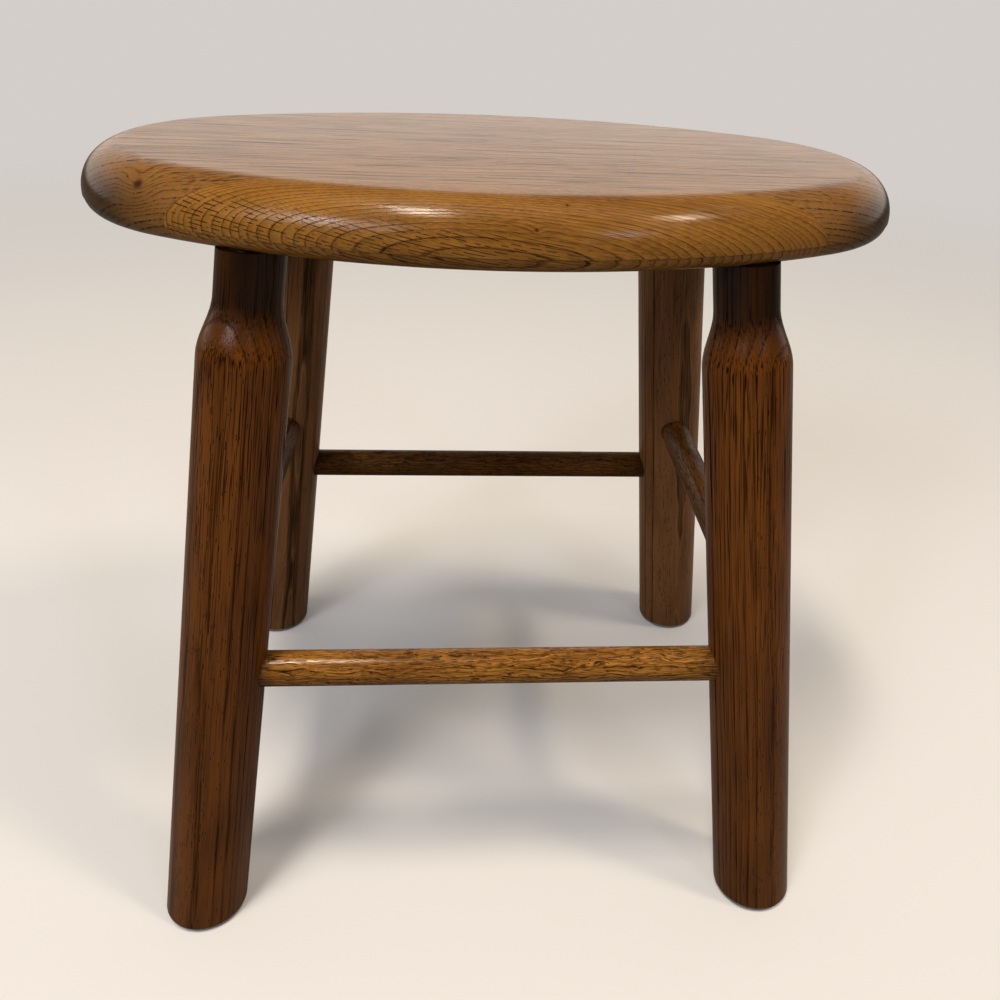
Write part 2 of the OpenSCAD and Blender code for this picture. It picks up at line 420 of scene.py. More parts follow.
# %% [markdown]
# Fourth part: the colour between the lines. Wood is a little darker towards the end of each year,
# cloudy over a few centimetres, and finely streaked along the fibre. A real fibre is far thinner
# than a hair, so bundles of them half a millimetre wide are drawn, because those still show.

# %% Wood colour
def wood_colour(tree, place, bent, growth, wood, dark_wood, streaks):
    """Gives the colour between the marks, the clouds and the fibre."""
    cloud_size, fibre_size = (60.0, 16.0, 16.0), (30.0, 0.5, 0.5)
    late_dark, base_tone = 0.30, -0.60
    late_growth = add(tree, MATH, "POWER", [growth, 2.0])
    cells = add(tree, VECTOR, "DIVIDE", [place, cloud_size])
    clouds = add(tree, NOISE, None, {"Vector": cells, "Scale": 1.0, "Detail": 2.0})
    cells = add(tree, VECTOR, "DIVIDE", [bent, fibre_size])
    fibre = add(tree, NOISE, None, {"Vector": cells, "Scale": 1.0, "Detail": 3.0})
    tone = add(tree, MATH, "MULTIPLY_ADD", [late_growth, late_dark, base_tone])
    tone = add(tree, MATH, "ADD", [clouds, tone])
    tone = add(tree, MATH, {"operation": "MULTIPLY_ADD", "use_clamp": True}, [fibre, streaks, tone])
    paint = add(tree, MIX, COLOURS, {"Factor": tone, UNDER: colour(wood), OVER: colour(dark_wood)}, MIXED)
    return paint, clouds, fibre

# %% [markdown]
# Last part: the painted shade and the varnish. Painted shade darkens the wood, deeper here and
# there, so its edge is uneven. Varnish gives a clear shine. It sinks a little into the pores and
# follows the fibre, which breaks a bright spot up, and an open pore doesn't shine. Real varnish has
# an IOR of about 1.5; the lower number is matched to the photograph, in which the film is old and dull.

# %% Varnished oak
def add_darkening(tree, clouds, paint):
    """The wood's colour under its painted shade and other darkening."""
    unevenness, faintest, deepest = 0.5, 0.72, 0.95
    # Painted shade: a dark brown mixed into the wood, patchy, as much as the vertices ask for.
    darkening = add(tree, ATTRIBUTE, {"attribute_name": "patina"}, output="Fac")
    patchy = add(tree, MATH, "MULTIPLY_ADD", [clouds, unevenness, faintest])
    darkening = add(tree, MATH, {"operation": "MULTIPLY", "use_clamp": True}, [darkening, patchy])
    darkening = add(tree, MATH, "MULTIPLY", [darkening, deepest])
    return add(tree, MIX, COLOURS, {"Factor": darkening, UNDER: paint, OVER: colour("#1c0f08")}, MIXED)


def oak(name, wood, dark_wood, pore, ray, ring=2.0, band=0.6, vessel_length=34.0, vessel_width=0.4,
        solid=0.6, scattered=0.5, wave=110.0, sway=3.0, many=0.60, knots=(), streaks=0.9, dent=0.05,
        roughness=0.16, shine=0.5):
    """European oak, sawn or turned, stained and varnished; the lengths are in millimetres."""
    ray_depth, fibre_height, dull_pores = 0.3, 0.5, 0.85
    material = bpy.data.materials.new(name)
    tree = empty_tree(material)
    place, bent, from_pith, growth, year, cores = log_rings(tree, ring, wave, sway, knots)
    dark = pore_rows(tree, bent, growth, year, band / ring, vessel_length, vessel_width, solid, scattered)
    dash = ray_dashes(tree, bent, from_pith, many)
    paint, clouds, fibre = wood_colour(tree, place, bent, growth, wood, dark_wood, streaks)
    marks = add(tree, MATH, "MAXIMUM", [dark, cores])
    for mark, mark_colour in ((dash, ray), (marks, pore)):
        paint = add(tree, MIX, COLOURS, {"Factor": mark, UNDER: paint, OVER: colour(mark_colour)}, MIXED)
    # The painted shade and the other darkening go on last.
    paint = add_darkening(tree, clouds, paint)
    dents = add(tree, MATH, "MULTIPLY_ADD", [dash, ray_depth, dark])
    ridges = add(tree, MATH, "MULTIPLY_ADD", [fibre, -fibre_height, dents])
    dented = add(tree, "ShaderNodeBump", {"invert": True},
                 {"Height": ridges, "Strength": 1.0, "Distance": dent * MM}, "Normal")
    gloss = add(tree, MATH, "MULTIPLY_ADD", [marks, -dull_pores * shine, shine])
    shader = add(tree, "ShaderNodeBsdfPrincipled", None,
                 {"Base Color": paint, "Normal": dented, "Specular IOR Level": gloss,
                  "Roughness": roughness, "IOR": 1.32})
    add(tree, "ShaderNodeOutputMaterial", None, {"Surface": shader}, None)
    print(name, len(tree.nodes), "nodes")
    return material

# %% [markdown]
# The seat. On the real stool five boards are glued edge to edge, and the blank is then sawn to an
# oval and rounded over. A rail and a profile make the same thing here: the oval is the rail, and
# the profile is the rounded edge. The oval is four arcs. The outward direction picks the arc that a
# point lies on, so each point is its arc's centre plus the radius in that direction.

# %% The oval outline
board_sizes = {"End centre": end_centre, "End radius": end_radius, "Side centre": side_centre,
               "Side radius": side_radius, "Thickness": seat_thick, "Underside": underside,
               "Top round": top_round, "Bottom round": bottom_round, "Crease": crease,
               "From": -seat_width, "To": seat_width, "Leg top": leg_top, "Leg foot": leg_foot,
               "Mortise radius": tenon_radius + fit_gap, "Mortise depth": tenon_depth + glue_gap}
board_tree, given = shape_tree("seat board", board_sizes)


def oval(tree, given, inset, height, points=360):
    """The seat's outline, drawn in by an inset, as a closed curve at some height."""
    circle = add(tree, RING, None, {"Resolution": points, "Radius": 1.0})
    outward = add(tree, "GeometryNodeInputPosition")
    parts = add(tree, AXES, None, [outward], None)
    turn = add(tree, MATH, "ARCTAN2", [given["End centre"], given["Side centre"]])
    least = add(tree, MATH, "COSINE", [turn])
    steep = add(tree, MATH, "ABSOLUTE", [parts["Y"]])
    on_side = add(tree, "FunctionNodeCompare", "GREATER_THAN", [steep, least])
    sign_x = add(tree, MATH, "SIGN", [parts["X"]])
    sign_y = add(tree, MATH, "SIGN", [parts["Y"]])
    end_x = add(tree, MATH, "MULTIPLY", [sign_x, given["End centre"]])
    side_y = add(tree, MATH, "MULTIPLY", [sign_y, given["Side centre"]])
    side_y = add(tree, MATH, "MULTIPLY", [side_y, -1.0])
    centre_x, centre_y, radius = [
        add(tree, "GeometryNodeSwitch", {"input_type": "FLOAT"}, [on_side, at_end, at_side])
        for at_end, at_side in ((end_x, 0.0), (0.0, side_y), (given["End radius"], given["Side radius"]))]
    reach = add(tree, MATH, "SUBTRACT", [radius, inset])
    centre = add(tree, XYZ, None, [centre_x, centre_y, height])
    arm = add(tree, VECTOR, "SCALE", {0: outward, "Scale": reach})
    place = add(tree, VECTOR, "ADD", [centre, arm])
    return add(tree, "GeometryNodeSetPosition", None, {"Geometry": circle, "Position": place})


rail = oval(board_tree, given, 0.0, given["Underside"])
print("oval rail:", len(board_tree.nodes), "nodes")

# %% [markdown]
# The edge of the real seat was run over with two cutters: a large round above and a small one
# below, with a fine step where the small one began. The profile is those two arcs, the short wall
# between them and the step, drawn as curves end to end.

# %% The rounded edge
def edge_profile(tree, given):
    """The rounded edge, with X outwards from the rail and Y downwards from it."""
    top_y = add(tree, MATH, "SUBTRACT", [given["Top round"], given["Thickness"]])
    low_y = add(tree, MATH, "MULTIPLY", [given["Bottom round"], -1.0])
    top_x = add(tree, MATH, "MULTIPLY", [given["Top round"], -1.0])
    back = add(tree, MATH, "MULTIPLY", [given["Crease"], -1.0])
    low_x = add(tree, MATH, "SUBTRACT", [back, given["Bottom round"]])
    quarter = math.radians(90)
    rounds = []
    for label, points, start, x, y in (("Top round", 25, -quarter, top_x, top_y),
                                       ("Bottom round", 13, 0.0, low_x, low_y)):
        arc = add(tree, "GeometryNodeCurveArc", {"mode": "RADIUS"},
                  {"Resolution": points, "Radius": given[label], "Start Angle": start,
                   "Sweep Angle": quarter})
        at = add(tree, XYZ, None, {"X": x, "Y": y})
        rounds.append(add(tree, MOVE, None, {"Geometry": arc, "Translation": at}))
    over, under = rounds
    wall_top = add(tree, XYZ, None, {"Y": top_y})
    wall_foot = add(tree, XYZ, None, {"Y": low_y})
    ledge_end = add(tree, XYZ, None, {"X": back, "Y": low_y})
    wall = add(tree, LINE, None, [wall_top, wall_foot])
    ledge = add(tree, LINE, None, [wall_foot, ledge_end])
    return add(tree, "GeometryNodeJoinGeometry", None, {"Geometry": [over, wall, ledge, under]})


profile = edge_profile(board_tree, given)
print("with the edge profile:", len(board_tree.nodes), "nodes")

# %% [markdown]
# Sweeping the profile along the rail gives the skin of the edge. The top and the underside are the
# same oval, drawn in to where the rounds end, and filled. Merged, these make the closed blank.

# %% The blank
skin = add(board_tree, SWEEP, None, {"Curve": rail, "Profile Curve": profile})
top_z = add(board_tree, MATH, "ADD", [given["Underside"], given["Thickness"]])
low_inset = add(board_tree, MATH, "ADD", [given["Bottom round"], given["Crease"]])
faces = []
for inset, height in ((given["Top round"], top_z), (low_inset, given["Underside"])):
    outline = oval(board_tree, given, inset, 0.0)
    filled = add(board_tree, "GeometryNodeFillCurve", {"mode": "NGONS"}, {"Curve": outline})
    at = add(board_tree, XYZ, None, {"Z": height})
    faces.append(add(board_tree, MOVE, None, {"Geometry": filled, "Translation": at}))
top_face, low_face = faces
low_face = add(board_tree, "GeometryNodeFlipFaces", None, {"Mesh": low_face})
shell = add(board_tree, "GeometryNodeJoinGeometry", None, {"Geometry": [skin, top_face, low_face]})
blank = add(board_tree, "GeometryNodeMergeByDistance", None, {"Geometry": shell, "Distance": 0.02 * MM})
print("with the blank:", len(board_tree.nodes), "nodes")

# %% [markdown]
# One tree makes every board. A slab between two glue lines keeps one board of the blank, and four
# slanted holes are drilled into the underside for the legs' tenons. A board that lies clear of a
# hole is left whole by that cut.

# %% One board with its mortises
slab_width = add(board_tree, MATH, "SUBTRACT", [given["To"], given["From"]])
slab_middle = add(board_tree, MATH, "ADD", [given["To"], given["From"]])
slab_middle = add(board_tree, MATH, "MULTIPLY", [slab_middle, 0.5])
slab_size = add(board_tree, XYZ, None, [3 * seat_length, slab_width, seat_height])
slab = add(board_tree, "GeometryNodeMeshCube", None, {"Size": slab_size})
slab_at = add(board_tree, XYZ, None, {"Y": slab_middle, "Z": given["Underside"]})
slab = add(board_tree, MOVE, None, {"Geometry": slab, "Translation": slab_at})
board = add(board_tree, BOOLEAN, KEEP, {"Mesh 2": [blank, slab]})
lean = add(board_tree, VECTOR, "SUBTRACT", [given["Leg top"], given["Leg foot"]])
lean = add(board_tree, VECTOR, "NORMALIZE", [lean])
into = add(board_tree, VECTOR, "SCALE", {0: lean, "Scale": given["Mortise depth"]})
tip = add(board_tree, VECTOR, "ADD", [given["Leg top"], into])
mortises = []
for side_x, side_y in corners.values():
    start, end = [add(board_tree, VECTOR, "MULTIPLY", [point, (side_x, side_y, 1)])
                  for point in (given["Leg foot"], tip)]
    mortises.append(rod(board_tree, start, end, given["Mortise radius"]))
drilled = add(board_tree, BOOLEAN, CUT, {"Mesh 1": board, "Mesh 2": mortises})
end_tree(board_tree, drilled, given["Material"])

# %% [markdown]
# Each board comes from its own log, so its rings have their own centre. On the front board the pith
# lay in front of the board and sank towards the right: that stands the rings upright at the left,
# where the rounded edge turns them into bows, and slants them at the right. It has two pin knots.
# It is flat-sawn oak under a golden stain and satin varnish. To the eye that is a warm amber with
# crisp dark ring lines, short dashes across them and a clear shine.

# %% The front board
front_log = {"pith": (0.0, -0.155, 0.305), "along": (1.0, 0.0, -0.167)}
pin_knots, pin_knot_size = [(0.009, -0.0975, 0.325), (0.020, -0.0895, 0.332)], 0.9
front_oak = oak("golden_oak_board", "#b47e36", "#6c4318", "#331b0b", "#3d220c", ring=1.4, band=0.30,
                vessel_length=8.0, solid=0.65, scattered=0.3, many=0.465, streaks=0.95, roughness=0.14,
                knots=[(tuple(place_in_log(at, **front_log)), pin_knot_size) for at in pin_knots])
front_board = made_by(board_tree, "board_front", front_oak, {"From": -seat_width, "To": glue_lines[0]})
finish_piece(front_board, "seat_board_front")
lay_grain(front_board, **front_log, few_rays=(-10.0, 70.0))
lay_darkening(front_board, shade_on_seat)

# %% [markdown]
# The other boards are browner. Their rings lie nearly level, so their ends show faint level lines
# and the top shows fine streaks of long pores, closest together near the front. The second board
# has a small knot near its left end. They are the same oak, darkened and worn duller by use: to the
# eye a soft brown that turns grey where it mirrors a bright wall at a flat angle.

# %% The other four boards
logs = {
    "mid_front": {"pith": (0.0, -0.115, 0.215), "along": (1.0, 0.010, 0.012)},
    "middle": {"pith": (0.0, -0.070, 0.210), "along": (1.0, -0.012, 0.010)},
    "mid_rear": {"pith": (0.0, -0.025, 0.205), "along": (1.0, 0.010, -0.012)},
    "rear": {"pith": (0.0, 0.160, 0.300), "along": (1.0, -0.030, 0.080)},
}
knot = (tuple(place_in_log((-0.1343, -0.0606, 0.3277), **logs["mid_front"])), 2.6)
knotty_oak, inner_oak = [
    oak(name, "#9c6c36", "#74502a", "#25160a", "#5a3a1c", vessel_length=40.0, vessel_width=0.8, solid=0.3,
        scattered=0.55, sway=1.6, many=0.64, dent=0.03, roughness=0.2, knots=knots)
    for name, knots in (("brown_oak_board_with_knot", [knot]), ("brown_oak_board", []))]
glue_steps = [*glue_lines, seat_width]
for number, (name, log) in enumerate(logs.items()):
    material = knotty_oak if name == "mid_front" else inner_oak
    sizes = {"From": glue_steps[number], "To": glue_steps[number + 1]}
    board = made_by(board_tree, "board_" + name, material, sizes)
    finish_piece(board, "seat_board_" + name)
    lay_grain(board, **log)
    lay_darkening(board, shade_on_seat)

# %% [markdown]
# A leg is turned between centres: a straight shank, a curved shoulder and a narrow neck, with a
# tenon on top. Turned work is a line with a radius that changes along it. The tree draws the centre
# line first, from above the seat to below the floor, with its points close together along the
# shoulder and only one more at each end.

# %% The leg's centre line
leg_sizes = {"Foot": leg_foot, "Top": leg_top, "Shank radius": leg_radius, "Neck radius": neck_radius,
             "Neck length": neck_length, "Shoulder length": shoulder_length, "Tenon radius": tenon_radius,
             "Tenon depth": tenon_depth, "Pad": pad_thick, "Socket radius": rail_radius + fit_gap,
             "Side": Vector((1, 1, 1))}
leg_tree, given = shape_tree("turned leg", leg_sizes)
spare, shoulder_steps = 20 * MM, 24
foot, top = [add(leg_tree, VECTOR, "MULTIPLY", [given[end], given["Side"]]) for end in ("Foot", "Top")]
lean = add(leg_tree, VECTOR, "SUBTRACT", [top, foot])
lean = add(leg_tree, VECTOR, "NORMALIZE", [lean])
start_at = add(leg_tree, VECTOR, "MULTIPLY_ADD", [lean, (spare,) * 3, top])
end_at = add(leg_tree, VECTOR, "MULTIPLY_ADD", [lean, (-spare,) * 3, foot])
whole = add(leg_tree, VECTOR, "DISTANCE", [start_at, end_at], "Value")
count = add(leg_tree, "GeometryNodeInputIndex")
at_neck = add(leg_tree, MATH, "ADD", [given["Neck length"], spare])
first = add(leg_tree, MATH, "MINIMUM", [count, 1.0])
below = add(leg_tree, MATH, "MULTIPLY", [first, at_neck])
part = add(leg_tree, MATH, "SUBTRACT", [count, 1.0])
part = add(leg_tree, MATH, {"operation": "DIVIDE", "use_clamp": True}, [part, shoulder_steps])
below = add(leg_tree, MATH, "MULTIPLY_ADD", [part, given["Shoulder length"], below])
rest = add(leg_tree, MATH, "SUBTRACT", [whole, at_neck])
rest = add(leg_tree, MATH, "SUBTRACT", [rest, given["Shoulder length"]])
last = add(leg_tree, MATH, {"operation": "SUBTRACT", "use_clamp": True}, [count, shoulder_steps + 1.0])
below = add(leg_tree, MATH, "MULTIPLY_ADD", [last, rest, below])
drop = add(leg_tree, VECTOR, "SCALE", {0: lean, "Scale": below})
place = add(leg_tree, VECTOR, "SUBTRACT", [start_at, drop])
line = add(leg_tree, LINE, None, [start_at, end_at])
line = add(leg_tree, "GeometryNodeResampleCurve", {"mode": "COUNT"},
           {"Curve": line, "Count": shoulder_steps + 3})
line = add(leg_tree, "GeometryNodeSetPosition", None, {"Geometry": line, "Position": place})
print("leg line:", shoulder_steps + 3, "points")

# %% [markdown]
# Along the shoulder the radius swings from the neck's to the shank's as a cosine, which gives the
# soft double curve of a turner's gouge. A ring swept along the line is then the turned leg. The leg
# leans, and its foot and neck are cut level, so the swept form is trimmed by a slab.

# %% The turned shank
swing = add(leg_tree, MATH, "MULTIPLY", [part, math.pi])
swing = add(leg_tree, MATH, "COSINE", [swing])
swing = add(leg_tree, MATH, "MULTIPLY_ADD", [swing, -0.5, 0.5])
swell = add(leg_tree, MATH, "SUBTRACT", [given["Shank radius"], given["Neck radius"]])
girth = add(leg_tree, MATH, "MULTIPLY_ADD", [swing, swell, given["Neck radius"]])
turned = swept(leg_tree, line, girth, 96)
height = add(leg_tree, AXES, None, [given["Top"]], None)["Z"]
tall = add(leg_tree, MATH, "SUBTRACT", [height, given["Pad"]])
middle = add(leg_tree, MATH, "ADD", [height, given["Pad"]])
middle = add(leg_tree, MATH, "MULTIPLY", [middle, 0.5])
room_size = add(leg_tree, XYZ, None, [2 * seat_length, 2 * seat_length, tall])
room = add(leg_tree, "GeometryNodeMeshCube", None, {"Size": room_size})
room_at = add(leg_tree, XYZ, None, {"Z": middle})
room = add(leg_tree, MOVE, None, {"Geometry": room, "Translation": room_at})
shank = add(leg_tree, BOOLEAN, KEEP, {"Mesh 2": [turned, room]})
print("with the turned shank:", len(leg_tree.nodes), "nodes")

# %% [markdown]
# A round tenon on top goes into the seat, and two blind sockets take the ends of the stretchers.
# They can't be seen on the finished stool, but a maker would cut them, so the leg has them.

# %% Tenon and sockets
deep = add(leg_tree, VECTOR, "SCALE", {0: lean, "Scale": given["Tenon depth"]})
tip = add(leg_tree, VECTOR, "ADD", [top, deep])
heel = add(leg_tree, VECTOR, "SUBTRACT", [top, deep])
tenon = rod(leg_tree, heel, tip, given["Tenon radius"])
joined = add(leg_tree, BOOLEAN, JOIN, {"Mesh 2": [shank, tenon]})
socket_depth = rail_depth + glue_gap - leg_radius
sockets = []
for height, axis in ((front_rail_height, Vector((1, 0, 0))), (side_rail_height, Vector((0, 1, 0)))):
    reach = leg_axis(height)
    far = reach + axis * socket_depth
    begin, finish = [add(leg_tree, VECTOR, "MULTIPLY", [point, given["Side"]])
                     for point in (reach - axis * reach.dot(axis), far)]
    sockets.append(rod(leg_tree, begin, finish, given["Socket radius"]))
bored = add(leg_tree, BOOLEAN, CUT, {"Mesh 1": joined, "Mesh 2": sockets})
end_tree(leg_tree, bored, given["Material"])

# %% [markdown]
# The legs are of straight-grained oak with long pores. The pith lies outside the leg, so the rings
# run up the shank as long dark lines and bow over the shoulder, where the turning cuts through
# them. Each leg has its own place in its log. The front legs are turned oak under a dark stain, a
# deep red-brown to the eye, with open pores that a finger can feel and a clear shine. The rear legs
# are the same oak, a little duller, and painted paler and greyer, which is painted light and
# painted reflection.

# %% The four legs
leg_oak = oak("dark_oak_turned", "#824a13", "#40200a", "#0a0402", "#201004", ring=2.6, band=0.8,
              vessel_width=0.55, solid=0.4, scattered=0.9, streaks=0.8, dent=0.09)
# Painted light and reflection: the rear legs' oak is painted paler and greyer than the front legs'.
rear_leg_oak = oak("grey_brown_oak_turned", "#a87445", "#643f24", "#1c120a", "#33200f", ring=4.0,
                   vessel_width=0.55, roughness=0.25)
leg_piths = {"front_left": (0.021, 0.034), "front_right": (-0.030, 0.028), "rear_left": (0.018, -0.036),
             "rear_right": (-0.012, 0.040)}
for name, (side_x, side_y) in corners.items():
    material = leg_oak if side_y < 0 else rear_leg_oak
    leg = made_by(leg_tree, "turned_leg_" + name, material, {"Side": (side_x, side_y, 1.0)})
    finish_piece(leg, "leg_" + name)
    foot_at, top_at = leg_axis(0.0, side_x, side_y), leg_axis(underside, side_x, side_y)
    lay_grain(leg, foot_at + Vector((*leg_piths[name], 0.0)), top_at - foot_at, up=(0, 1, 0))
    lay_darkening(leg, darkening_on_leg)

# %% [markdown]
# The stretchers are dowels glued straight into the legs, with no shoulder. Only their ends are
# worked: a small bevel lets them start in their sockets. Again the radius follows a rule along the
# line, falling over the last millimetre at both ends.

# %% Tree for a dowel
dowel_sizes = {"Start": Vector((-0.1, 0, 0.1)), "End": Vector((0.1, 0, 0.1)), "Radius": rail_radius,
               "Bevel": 1 * MM}
dowel_tree, given = shape_tree("dowel", dowel_sizes)
line = add(dowel_tree, LINE, None, [given["Start"], given["End"]])
line = add(dowel_tree, "GeometryNodeResampleCurve", {"mode": "LENGTH"}, {"Curve": line, "Length": 1 * MM})
girth = worn_ends(dowel_tree, given["Radius"], given["Bevel"])
end_tree(dowel_tree, swept(dowel_tree, line, girth, 72), given["Material"])

# %% [markdown]
# The front stretcher has a wild, flowing figure round two small knots, and it shines. All four are
# the same oak: the front one is lighter and more golden, partly its own colour and partly painted
# light, and the other three are painted browner, which is painted shade, and are duller. A short
# wave makes the rings wander, so that the figure flows. All four are hidden in their sockets for
# 13 mm at each end.

# %% The four stretchers
front_reach, side_reach = leg_axis(front_rail_height), leg_axis(side_rail_height)
half_long = front_reach.x - leg_radius + rail_depth
half_short = side_reach.y - leg_radius + rail_depth
rail_marks = {"ring": 1.6, "band": 0.7, "vessel_length": 7.0, "scattered": 0.8, "wave": 26.0, "sway": 7.0,
              "many": 0.58, "streaks": 1.2, "dent": 0.04}
pith_below, next_log = 24 * MM, 4 * MM
rail_log = {"pith": (0.0, -front_reach.y, front_rail_height - pith_below), "along": (1.0, 0.0, 0.0)}
rail_knots = [((-0.0435, -0.0985, 0.128), 1.6), ((0.0325, -0.0975, 0.131), 1.0)]
# Partly painted light: the front stretcher's oak is painted lighter and more golden than the others'.
front_rail_oak = oak("golden_oak_dowel", "#dc9a42", "#643610", "#120803", "#241205", **rail_marks,
                     knots=[(tuple(place_in_log(at, **rail_log)), size) for at, size in rail_knots])
# Painted shade: the other three stretchers' oak is painted browner.
rail_oak = oak("brown_oak_dowel", "#8a571f", "#4a2c0e", "#160b04", "#2a1507", **rail_marks,
               roughness=0.4, shine=0.3)
stretchers = {
    "front": (Vector((half_long, -front_reach.y, front_rail_height)), (-1, 1, 1)),
    "rear": (Vector((half_long, front_reach.y, front_rail_height)), (-1, 1, 1)),
    "left": (Vector((-side_reach.x, half_short, side_rail_height)), (1, -1, 1)),
    "right": (Vector((side_reach.x, half_short, side_rail_height)), (1, -1, 1)),
}
for number, (name, (end, flip)) in enumerate(stretchers.items()):
    start = Vector(a * b for a, b in zip(end, flip))
    material = front_rail_oak if name == "front" else rail_oak
    dowel = made_by(dowel_tree, "dowel_" + name, material, {"Start": start, "End": end})
    finish_piece(dowel, "stretcher_" + name)
    pith = (start + end) / 2 - Vector((0.0, 0.0, pith_below + next_log * number))
    lay_grain(dowel, pith, (1.0, 0.0, 0.0) if name == "front" else end - start)
    lay_darkening(dowel, darkening_on_rail)

# %% [markdown]
# The foot pads are punched from grey wool felt. Felt has no weave: it is a mat of short fibres, so
# its edge is soft and a little ragged. The pad starts as a low round block with softened rims, made
# as the dowel is: a radius that falls near both ends of a line.

# %% A round felt block
pad_sizes = {"Centre": Vector((0, 0, 0)), "Radius": pad_radius, "Thickness": pad_thick, "Rim": 0.5 * MM,
             "Fuzz": 0.7 * MM}
pad_tree, given = shape_tree("felt pad", pad_sizes)
up = add(pad_tree, XYZ, None, {"Z": given["Thickness"]})
head = add(pad_tree, VECTOR, "ADD", [given["Centre"], up])
line = add(pad_tree, LINE, None, [given["Centre"], head])
line = add(pad_tree, "GeometryNodeResampleCurve", {"mode": "COUNT"}, {"Curve": line, "Count": 14})
block = swept(pad_tree, line, worn_ends(pad_tree, given["Radius"], given["Rim"]), 160)
print("felt block:", len(pad_tree.nodes), "nodes")

# %% [markdown]
# Noise presses the side of the pad in or swells it, by less than a quarter of a millimetre. Fine
# fibres are then scattered over the side with a fixed seed, each a thin three-sided rod turned by
# chance. They start far enough up to clear the floor. Real wool is 0.03 mm thick; these are 0.04 mm,
# so that they show.

# %% Lumps and loose fibres
lump_size, lump_height, lump_sink = 2.5 * MM, 0.5 * MM, 0.3 * MM
fibre_radius, lowest_fibre, fibres_per_square_metre = 0.02 * MM, 0.9 * MM, 1.6e6
steepest, most_tilt = 0.7, Vector((0.6, 0.6, 3.1))
place = add(pad_tree, "GeometryNodeInputPosition")
facing = add(pad_tree, "GeometryNodeInputNormal")
level = add(pad_tree, VECTOR, "MULTIPLY", [facing, (1.0, 1.0, 0.0)])
lumps = add(pad_tree, NOISE, None, {"Vector": place, "Scale": 1 / lump_size, "Detail": 3.0})
swell = add(pad_tree, MATH, "MULTIPLY_ADD", [lumps, lump_height, -lump_sink])
bulge = add(pad_tree, VECTOR, "SCALE", {0: level, "Scale": swell})
block = add(pad_tree, "GeometryNodeSetPosition", None, {"Geometry": block, "Offset": bulge})
sideways = add(pad_tree, VECTOR, "LENGTH", [level], "Value")
height = add(pad_tree, VECTOR, "DOT_PRODUCT", [place, (0, 0, 1)], "Value")
clear = add(pad_tree, "FunctionNodeCompare", "GREATER_THAN", [height, lowest_fibre])
on_side = add(pad_tree, "FunctionNodeCompare", "GREATER_THAN", [sideways, steepest])
hairy = add(pad_tree, "FunctionNodeBooleanMath", "AND", [clear, on_side])
roots = add(pad_tree, "GeometryNodeDistributePointsOnFaces", None,
            {"Mesh": block, "Selection": hairy, "Density": fibres_per_square_metre, "Seed": 7}, None)
tilt = add(pad_tree, "FunctionNodeRandomValue", {"data_type": "FLOAT_VECTOR"},
           {0: -most_tilt, 1: most_tilt, "Seed": 4})
turned_out = add(pad_tree, "FunctionNodeRotateRotation", {"rotation_space": "LOCAL"},
                 [roots["Rotation"], tilt])
hair_end = add(pad_tree, XYZ, None, {"Z": given["Fuzz"]})
hair = rod(pad_tree, (0.0, 0.0, 0.0), hair_end, fibre_radius, segments=3)
size = add(pad_tree, "FunctionNodeRandomValue", {"data_type": "FLOAT"}, {2: 0.3, 3: 1.0, "Seed": 5}, 1)
fuzz = add(pad_tree, "GeometryNodeInstanceOnPoints", None,
           {"Points": roots["Points"], "Instance": hair, "Rotation": turned_out, "Scale": size})
whole_pad = add(pad_tree, "GeometryNodeJoinGeometry", None, {"Geometry": [block, fuzz]})
end_tree(pad_tree, whole_pad, given["Material"])

# %% [markdown]
# Felt has no shine of its own. A little sheen lightens its rim, as loose fibres do, and flecks of
# darker wool are mixed into the grey. The flecks are 0.6 mm across, coarser than wool, so that they
# show. All four pads share the one material.

# %% Grey wool felt, and the four pads
def felt(name, pale, dark, fleck=0.6 * MM):
    """Pressed wool felt: no shine, a soft fuzz that lightens its rim, flecks of darker fibre."""
    material = bpy.data.materials.new(name)
    tree = empty_tree(material)
    place = add(tree, "ShaderNodeTexCoord", output="Object")
    fibres = add(tree, NOISE, None, {"Vector": place, "Scale": 1 / fleck, "Detail": 4.0, "Roughness": 0.7})
    shade = add(tree, RANGE, None, [fibres, 0.35, 0.65])
    mixed = add(tree, MIX, COLOURS, {"Factor": shade, UNDER: colour(dark), OVER: colour(pale)}, MIXED)
    rough = add(tree, "ShaderNodeBump", None,
                {"Height": fibres, "Strength": 0.8, "Distance": 0.25 * MM}, "Normal")
    shader = add(tree, "ShaderNodeBsdfPrincipled", None,
                 {"Base Color": mixed, "Normal": rough, "Roughness": 0.95, "Sheen Weight": 0.35,
                  "Specular IOR Level": 0.2})
    add(tree, "ShaderNodeOutputMaterial", None, {"Surface": shader}, None)
    return material


grey_felt = felt("grey_wool_felt", "#a3a39c", "#77776f")
for name, (side_x, side_y) in corners.items():
    centre = leg_axis(pad_thick, side_x, side_y)
    pad = made_by(pad_tree, "felt_pad_" + name, grey_felt, {"Centre": (centre.x, centre.y, 0.0)})
    finish_piece(pad, "foot_pad_" + name, corner=60)

# %% [markdown]
# The studio floor is large, plain and pale, and keeps the stool's shadow. Far from the stool the
# camera sees it as the backdrop's own colour, so that no horizon shows. The light that it throws
# back on the stool is that of a darker floor, because the photograph's seat is lit from above and
# is dark below.

# %% Floor
backdrop_colour = colour("#d3cec9")


